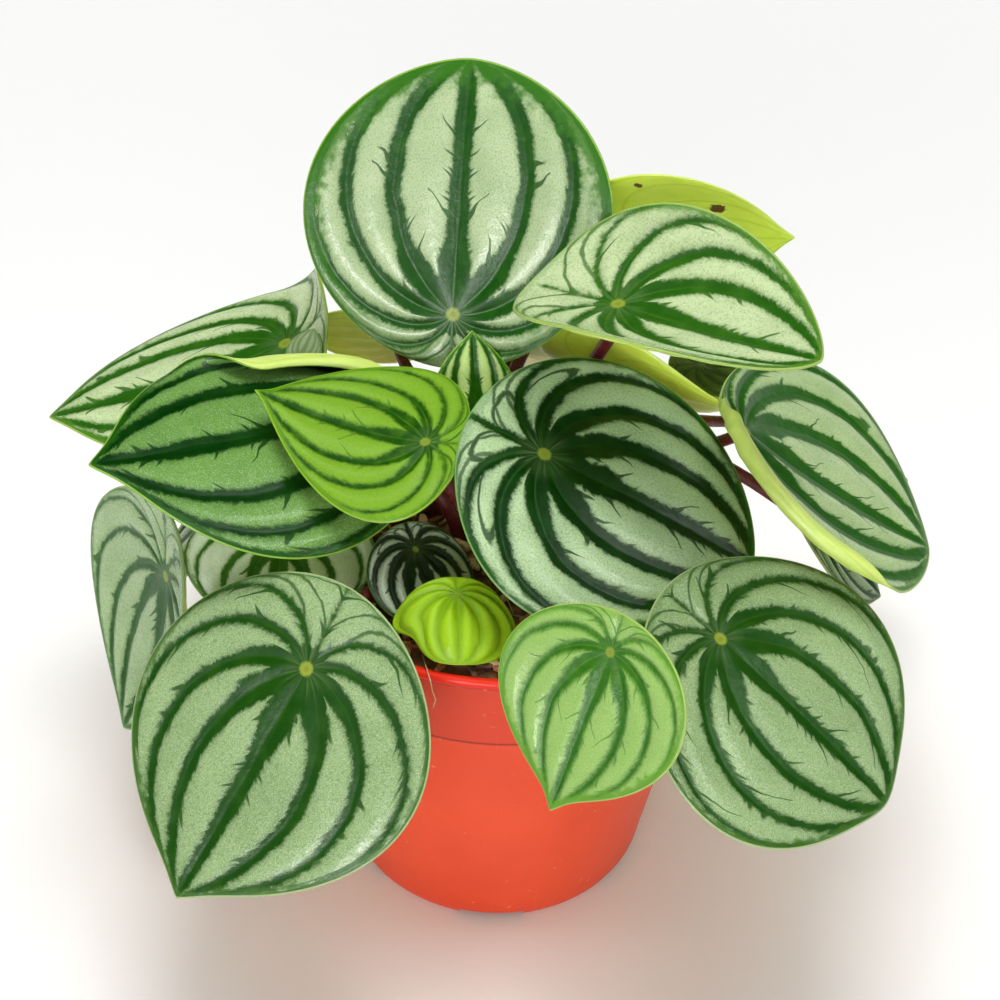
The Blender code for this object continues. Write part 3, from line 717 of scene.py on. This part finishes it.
def band_spacing(numbers, rings, flat):
    """The width of one band spacing at each point, from how fast the band number changes there."""
    by_ring = np.gradient(flat, rings, axis=0)
    by_ray = (np.roll(flat, -1, axis=1) - np.roll(flat, 1, axis=1)) / 2
    change_ring = np.gradient(numbers, rings, axis=0)
    change_ray = np.abs(np.roll(numbers, -1, axis=1) - np.roll(numbers, 1, axis=1)) / 2
    # The number folds at the midrib and opposite it, where the step to one side is the real one
    for ray in (0, RAYS // 2):
        change_ray[:, ray] = np.abs(numbers[:, ray] - numbers[:, ray - 1])
    change_ray *= np.where(np.arange(RAYS) < RAYS // 2, 1, -1)
    turned = by_ring[..., 0] * by_ray[..., 1] - by_ring[..., 1] * by_ray[..., 0]
    turned = np.where(np.abs(turned) < 1e-6, 1e-6, turned)
    slope_x = (change_ring * by_ray[..., 1] - change_ray * by_ring[..., 1]) / turned
    slope_y = (change_ray * by_ring[..., 0] - change_ring * by_ray[..., 0]) / turned
    return np.clip(1 / np.maximum(np.hypot(slope_x, slope_y), 1e-3), 0.2, 60)


def relief(leaf, numbers, spacing, share):
    """How far the blade swells between its bands."""
    off = np.abs(numbers - np.minimum(np.round(numbers), LAST_BAND))
    swell = np.sin(np.pi * np.minimum(off, 0.5)) ** (2 if leaf.pleat else 1.4)
    reach = np.clip(share / 0.25, 0, 1) * (1 if leaf.pleat else np.clip((1 - share) / 0.12, 0, 1))
    return leaf.puff * (swell - 0.3) * reach * np.clip(spacing / 5, 0.15, 1)


def face_normals(grid):
    """Unit normals of a face, from its own rings and rays."""
    wrapped = np.concatenate([grid[:, -1:], grid, grid[:, :1]], axis=1)
    normals = np.cross(np.gradient(grid, axis=0), wrapped[:, 2:] - wrapped[:, :-2])
    return normals / np.maximum(np.linalg.norm(normals, axis=-1, keepdims=True), 1e-9)


def blade_rings(grid, lift, nearest, under):
    """Rings of points over the upper face, the rim and the lower face."""
    top = grid[:TOP_RINGS]
    normals = face_normals(top)
    upper = top + normals * lift[:TOP_RINGS, :, None]
    # The upper face eases down to the rim at its last ring, and a rounded edge joins the two faces
    rim = upper[-1] + (top[-1] - top[-2]) * 0.12 - normals[-1] * BLADE * 0.5
    upper[-1] -= normals[-1] * BLADE * 0.175
    thickness = np.where(under < 1, BLADE, BLADE * 0.8)[:, None, None]
    lower_lift = lift[TOP_RINGS + 1:, :, None] * 0.7
    lower = grid[TOP_RINGS + 1:] + normals[nearest[TOP_RINGS + 1:]] * (lower_lift - thickness)
    return np.concatenate([upper, rim[None], lower])


def between(first, rings, last):
    """The values of a blade's points: its rings' values, between those of its two middle points."""
    return np.concatenate([[first], rings.reshape(-1, 3), [last]])


def put(mesh, name, values):
    mesh.attributes.new(name, "FLOAT_VECTOR", "POINT").data.foreach_set(
        "vector", np.asarray(values, np.float32).ravel())


def blade(name, leaf, number, surfaces):
    """Upper face, rounded rim and lower face of one leaf."""
    edge, direction = outline(leaf, RAYS)
    top = np.linspace(0, 1, TOP_RINGS + 1)[1:] ** RING_EASE
    under = np.linspace(1, 0, UNDER_RINGS + 1)[:-1]
    shares = np.concatenate([top, [1.0], under])
    nearest = np.abs(top - shares[:, None]).argmin(axis=1)  # the ring of the upper face by each ring
    flat = edge * shares[:, None, None]
    numbers = band_numbers(direction, shares)
    spacing = band_spacing(numbers[:TOP_RINGS], top, flat[:TOP_RINGS])[nearest]
    lift = relief(leaf, numbers[:TOP_RINGS], spacing[:TOP_RINGS], top[:, None])[nearest]
    points = between((0, 0, -0.05), blade_rings(formed(leaf, flat), lift, nearest, under), (0, 0, -BLADE))
    made = mesh_object(name, points, closed_faces(len(shares), RAYS), surfaces)
    mesh = made.data
    scale = (USUAL_LENGTH / leaf.length) ** PATTERN_EASE
    seed = number * SEED_STEP
    places = np.concatenate([flat * scale, np.full((*numbers.shape, 1), seed)], axis=-1)
    veins = np.stack([numbers, spacing * scale, np.broadcast_to(shares[:, None], numbers.shape)], axis=-1)
    put(mesh, "leaf_flat", between((0, 0, seed), places, (0, 0, seed)))
    put(mesh, "leaf_vein", between((0, 0.2 * scale, 0), veins, (0, 0.2 * scale, 0)))
    slots = np.zeros(len(mesh.polygons), np.int32)
    slots[(TOP_RINGS + 2) * RAYS:] = 1
    mesh.polygons.foreach_set("material_index", slots)
    mesh.transform(Matrix.Translation(Vector(leaf.at) * MM) @ leaf_turn(leaf).to_4x4())
    return made


def stalk_line(leaf):
    """Points up the middle of a stalk, from under the soil to the blade."""
    face = leaf_turn(leaf) @ Vector((0, 0, 1))
    foot = Vector((*leaf.root, soil_height(*leaf.root) + 2))
    lean = Vector((leaf.root[0] * 0.012, leaf.root[1] * 0.012, 1)).normalized()
    arrival = (face + leaf.slant * (Vector(leaf.at) - foot).normalized()).normalized()
    bow = Vector(leaf.bow)
    top = Vector(leaf.at) - face * (BLADE + 0.7)
    reach = (top - foot).length
    controls = (foot, foot + lean * reach * 0.4 + bow, top - arrival * reach * 0.3 + bow, top)
    line = [foot - lean * STALK_DEPTH]
    for step in range(STALK_POINTS):
        gone = step / (STALK_POINTS - 1)
        left = 1 - gone
        weights = (left**3, 3 * gone * left**2, 3 * gone**2 * left, gone**3)
        line.append(sum((control * weight for control, weight in zip(controls, weights)), Vector()))
    line.append(Vector(leaf.at) - face * (BLADE - 0.1))
    return line


def stalk(name, leaf, surface):
    line = stalk_line(leaf)
    radii = np.linspace(STALK_FOOT_RADIUS, STALK_TOP_RADIUS, len(line))
    radii[-2:] = STALK_TOP_RADIUS * 1.2, STALK_TOP_RADIUS * 1.5
    if leaf.length < TINY_LEAF:
        radii *= 0.6
    return mesh_object(name, *tube(line, radii, STALK_SIDES), [surface])


# ---- Pot and soil ----

def near(radius, height, steps):
    """Points of a profile near this place, each so far in from it and so far down."""
    return [(radius - inward, height - down) for inward, down in steps]


def pot_profile():
    """Radius and height once round the wall: up the inside, over the lip, down the outside, underneath."""
    floor_top = FOOT + FLOOR
    lip = POT_HEIGHT - LIP
    inside = [
        (0, floor_top), (BASE_RADIUS - 5, floor_top), (BASE_RADIUS - WALL, floor_top + CORNER),
        (LEDGE_RADIUS - WALL - STEP_IN, LEDGE_HEIGHT - 2), (LEDGE_RADIUS - WALL, LEDGE_HEIGHT),
        (BAND_RADIUS - WALL, lip),
    ]
    lip_inside = near(BAND_RADIUS - WALL, POT_HEIGHT, ((-0.2, 0.55), (-0.6, 0.2), (-1.2, 0)))
    lip_outside = near(LIP_RADIUS, POT_HEIGHT, (
        (1.1, 0), (0.5, 0.2), (0.1, 0.6), (0, LIP), (0.05, LIP + 0.6), (0.3, LIP + 1)))
    groove = near(BAND_RADIUS, lip, ((-0.1, 1.3), (0.25, 1.5), (0.1, 1.8), (0, 2.1)))
    ledge = near(LEDGE_RADIUS, LEDGE_HEIGHT, (
        (-0.05, -0.9), (0.1, -0.4), (STEP_IN - 0.15, -0.05), (STEP_IN, 0.3)))
    foot = near(BASE_RADIUS, 0, (
        (-0.3, -7.5), (0.2, -4), (0.6, -2.4), (1.1, -1.3), (1.7, -0.5), (2.3, -0.1), (2.8, 0), (6, 0),
        (6.4, -0.3), (6.5, -FOOT), (BASE_RADIUS, -FOOT)))
    return inside + lip_inside + lip_outside + groove + ledge + foot


def pot_cutters():
    """Blocks that cut the notches between the feet, and rods that cut the drain holes between those."""
    cutters = []
    for number in range(2 * FOOT_NOTCHES):
        angle = math.radians(270 + number * 180 / FOOT_NOTCHES)
        outward = Vector((math.cos(angle), math.sin(angle), 0))
        if number % 2:
            place = outward * DRAIN_RING + Vector((0, 0, FOOT))
            bpy.ops.mesh.primitive_cylinder_add(
                vertices=32, radius=DRAIN_RADIUS * MM, depth=12 * MM, location=place * MM)
        else:
            bpy.ops.mesh.primitive_cube_add(
                size=1, location=outward * (BASE_RADIUS - 2) * MM, rotation=(0, 0, angle),
                scale=(NOTCH_DEPTH * MM, NOTCH_WIDTH * MM, 2 * FOOT * MM))
        cutters.append(bpy.context.object)
    return cutters


def pot(surface):
    """The profile turned once round, less its notches and drain holes."""
    first = math.pi / POT_STEPS  # keeps the drain holes off the mesh's own rows
    points = [(out * math.cos(first), out * math.sin(first), height) for out, height in pot_profile()]
    mesh = bpy.data.meshes.new("pot_shell")
    mesh.from_pydata((np.array(points) * MM).tolist(), [(i, i + 1) for i in range(len(points) - 1)], [])
    mesh.materials.append(surface)
    made = linked("pot_shell", mesh)
    screw = made.modifiers.new("Turn", "SCREW")
    screw.steps = screw.render_steps = POT_STEPS
    screw.use_merge_vertices = True
    screw.merge_threshold = 0.00001
    cutters = pot_cutters()
    for cutter in cutters:
        made.modifiers.new(cutter.name, "BOOLEAN").object = cutter
    graph = bpy.context.evaluated_depsgraph_get()
    finished = bpy.data.meshes.new_from_object(made.evaluated_get(graph), depsgraph=graph)
    made.modifiers.clear()
    made.data = finished
    for cutter in cutters:
        bpy.data.objects.remove(cutter)
    finished.shade_smooth()
    finished.set_sharp_from_angle(angle=math.radians(SHARP_EDGE))
    return made


def soil_height(x, y):
    """The smooth soil of the solid."""
    share = min(math.hypot(x, y) / LEDGE_RADIUS, 1)
    lumps = noise.noise(Vector((x, y, 0)) / 9)
    return SOIL_EDGE + SOIL_MOUND * (1 - share**2) + SOIL_LUMPS * lumps


def heaped(x, y):
    """The soil's height with the loose bark that lies on it."""
    along, aside = ((place - middle) / spread for place, middle, spread in zip((x, y), HEAP_AT, HEAP_SPREAD))
    return soil_height(x, y) + HEAP_HEIGHT * math.exp(-(along**2) - aside**2)


def soil_bed(surface):
    """The top of the filling, rough and lumpy, with a skirt down the wall."""
    edge = BAND_RADIUS - WALL - SOIL_GAP
    turns = [2 * math.pi * side / SOIL_SIDES for side in range(SOIL_SIDES)]
    points = [(0, 0, soil_height(0, 0))]
    for ring in range(1, SOIL_RINGS + 1):
        radius = edge * ring / SOIL_RINGS
        for turn in turns:
            x, y = radius * math.cos(turn), radius * math.sin(turn)
            grains = sum(noise.noise(Vector((x, y, level)) / size) * height
                         for size, height, level in SOIL_GRAIN)
            points.append((x, y, heaped(x, y) + (grains if ring < SOIL_RINGS else 0)))
    for drop, inset in SOIL_SKIRT:
        radius = edge - inset
        points += [(radius * math.cos(turn), radius * math.sin(turn), SOIL_EDGE - drop) for turn in turns]
    points.append((0, 0, SOIL_EDGE - SOIL_SKIRT[-1][0]))
    faces = closed_faces(SOIL_RINGS + len(SOIL_SKIRT), SOIL_SIDES)
    return mesh_object("soil_bed", points, faces, [surface])


def bark_chips(surfaces):
    """Irregular flakes of bark and peat lying on the soil."""
    random = np.random.default_rng(7)
    points, faces, slots = [], [], []
    for _ in range(CHIPS):
        radius = CHIP_REACH * math.sqrt(random.uniform(0, 1))
        turn = random.uniform(0, 2 * math.pi)
        x, y = radius * math.cos(turn), radius * math.sin(turn)
        length, width = random.uniform(2.0, 8.5), random.uniform(1.0, 3.6)
        thick = random.uniform(0.5, 1.5)
        tilt = Euler((random.uniform(-0.5, 0.5), random.uniform(-0.45, 0.45), random.uniform(0, 6.3)))
        pile = random.uniform(0, 2)
        middle = Vector((x, y, heaped(x, y) + 0.5 + thick * 0.35 + pile))
        start = len(points)
        for level in (-0.5, 0.5):
            for corner in range(CHIP_SIDES):
                around = 2 * math.pi * corner / CHIP_SIDES + random.uniform(-0.25, 0.25)
                reach = random.uniform(0.75, 1.1)
                rise = level * thick + random.uniform(-0.2, 0.2) * thick
                corner_at = Vector((math.cos(around) * length / 2 * reach,
                                    math.sin(around) * width / 2 * reach, rise))
                points.append(tuple(tilt.to_matrix() @ corner_at + middle))
        high = start + CHIP_SIDES
        faces.append(tuple(range(start, high))[::-1])
        faces.append(tuple(range(high, high + CHIP_SIDES)))
        for corner in range(CHIP_SIDES):
            after = (corner + 1) % CHIP_SIDES
            faces.append((start + corner, start + after, high + after, high + corner))
        slots += [int(random.integers(0, len(surfaces)))] * (CHIP_SIDES + 2)
    made = mesh_object("bark_chips", points, faces, surfaces, smooth=False)
    made.data.polygons.foreach_set("material_index", slots)
    return made


def root_fibres(surface):
    """Pale root threads on the soil, and one that hangs over the lip."""
    random = np.random.default_rng(3)
    lines = [[Vector(place) for place in HANGING_THREAD]]
    for _ in range(THREADS):
        radius = THREAD_REACH * math.sqrt(random.uniform(0, 1))
        turn = random.uniform(0, 2 * math.pi)
        place = np.array([radius * math.cos(turn), radius * math.sin(turn)])
        heading = random.uniform(0, 2 * math.pi)
        line = []
        for step in range(9):
            line.append(Vector((*place, heaped(*place) + 2.6 + 0.9 * math.sin(step * 1.3 + heading))))
            heading += random.uniform(-0.5, 0.5)
            ahead = place + THREAD_STEP * np.array([math.cos(heading), math.sin(heading)])
            place = ahead if np.hypot(*ahead) < THREAD_REACH + 3 else place * 0.96
        lines.append(line)
    points, faces = [], []
    for line in lines:
        thread_points, thread_faces = tube(line, [THREAD_RADIUS] * len(line), 6)
        faces += [tuple(len(points) + i for i in face) for face in thread_faces]
        points += thread_points
    return mesh_object("root_fibres", points, faces, [surface])


# ---- The scene ----

def camera():
    """Half a metre away, looking down on the plant."""
    data = bpy.data.cameras.new("camera")
    data.lens, data.sensor_width, data.clip_start = 70, 36, 0.05
    made = linked("camera", data)
    turn = Euler((math.radians(90 - CAMERA_PITCH), 0, 0)).to_matrix().to_4x4()
    turn @= Euler((0, 0, math.radians(CAMERA_ROLL))).to_matrix().to_4x4()
    away = Matrix.Translation((0, 0, CAMERA_DISTANCE * MM))
    made.matrix_world = Matrix.Translation(Vector(LOOK_AT) * MM) @ turn @ away
    bpy.context.scene.camera = made


def area_light(name, place, aim, size, watts, shine=True, fill=True):
    """A soft box, placed in metres. shine: it is seen reflected. fill: it lights matt surfaces."""
    data = bpy.data.lights.new(name, "AREA")
    data.shape = "RECTANGLE"
    data.size, data.size_y = size
    data.energy = watts
    made = linked(name, data)
    made.visible_glossy = shine
    made.visible_diffuse = fill
    made.location = place
    made.rotation_euler = (Vector(aim) - Vector(place)).to_track_quat("-Z", "Y").to_euler()


def walls():
    """Pale walls all round and a dimmer white above them, never seen reflected."""
    world = bpy.data.worlds.new("studio")
    bpy.context.scene.world = world
    world.cycles_visibility.glossy = False
    world.use_nodes = True
    tree = world.node_tree
    background = tree.nodes["Background"].inputs
    background["Color"].default_value = (1, 1, 1, 1)
    direction = tree.nodes.new("ShaderNodeSeparateXYZ")
    tree.links.new(tree.nodes.new("ShaderNodeTexCoord").outputs["Generated"], direction.inputs[0])
    height = Field(tree, direction.outputs["Z"]).size()
    plug(tree, background["Strength"], height.step(0.42, 0.27) * 0.67 + 0.28)


def studio():
    walls()
    area_light("ceiling", (0, 0.3, 2.6), (0, 0, 0), (2.4, 2.4), 30, shine=False)
    area_light("overhead", (0, -0.05, 1.1), (0, 0, 0.1), (0.42, 0.32), 5, shine=False)
    area_light("front", (-0.2, -1.5, 0.5), (0, 0, 0.1), (1.0, 0.8), 9, shine=False)
    area_light("box_right", (0.64, -0.34, 1.2), (0, 0, 0.12), (0.34, 0.26), 5, fill=False)
    area_light("box_left", (-0.4, -1.2, 0.5), (0, 0, 0.15), (0.3, 0.26), 14, fill=False)
    corners = [(x * FLOOR_REACH, y * FLOOR_REACH, 0) for x, y in ((-1, -1), (1, -1), (1, 1), (-1, 1))]
    floor = mesh_object("floor", corners, [(0, 1, 2, 3)], [floor_surface()], smooth=False)
    bpy.context.scene.view_settings.view_transform = "Standard"


def leaves():
    tones = {name: upper_surface("leaf_" + name, tone) for name, tone in TONES.items()}
    # The lime underside and its veins are partly their own lime and partly painted glow: brighter, for light
    # passing through the blade
    glowing_lime_under, glowing_lime_vein = rgb(222, 244, 84), rgb(184, 218, 54)
    under = under_surface("leaf_underside", rgb(206, 226, 116), rgb(170, 198, 78))
    scarred = under_surface("leaf_underside_scarred", glowing_lime_under, glowing_lime_vein,
                            ((26.7, -18, 2.6), (28, -9.6, 2), (1.4, -32.5, 1.2)))
    under_lime = under_surface("leaf_underside_lime", glowing_lime_under, glowing_lime_vein)
    burgundy = stalk_surface()
    for number, (name, leaf) in enumerate(LEAVES.items()):
        lime = leaf.tone in LIME_TONES
        lower = under_lime if lime else under
        if name == "leaf_back_lime":
            lower = scarred
        made = blade(name.replace("leaf", "blade", 1), leaf, number, (tones[leaf.tone], lower))
        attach(made, "root")
        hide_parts(name)
        node = name.replace("leaf", "stalk", 1)
        made = stalk(name.replace("leaf", "petiole", 1), leaf, burgundy)
        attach(made, "root")
        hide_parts(node)


def potted_soil():
    shell = pot(pot_surface())
    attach(shell, "root")
    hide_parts("pot")
    # Peat and bark chips are painted lighter than their own colours: painted light, for the shade the leaves
    # cast on the soil
    bed = soil_bed(soil_surface("peat", rgb(110, 72, 48), rgb(170, 122, 84), 0.004))
    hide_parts("soil")
    chips = bark_chips([soil_surface("bark_tan", rgb(214, 168, 116), rgb(244, 214, 168)),
                        soil_surface("bark_brown", rgb(176, 108, 70), rgb(212, 146, 98)),
                        soil_surface("bark_dark", rgb(92, 56, 38), rgb(136, 88, 60))])
    threads = root_fibres(soil_surface("root_thread", rgb(206, 182, 140), rgb(232, 214, 176)))
    for piece in (bed, chips, threads):
        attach(piece, "root")


def main():
    camera()
    studio()
    leaves()
    potted_soil()


main()
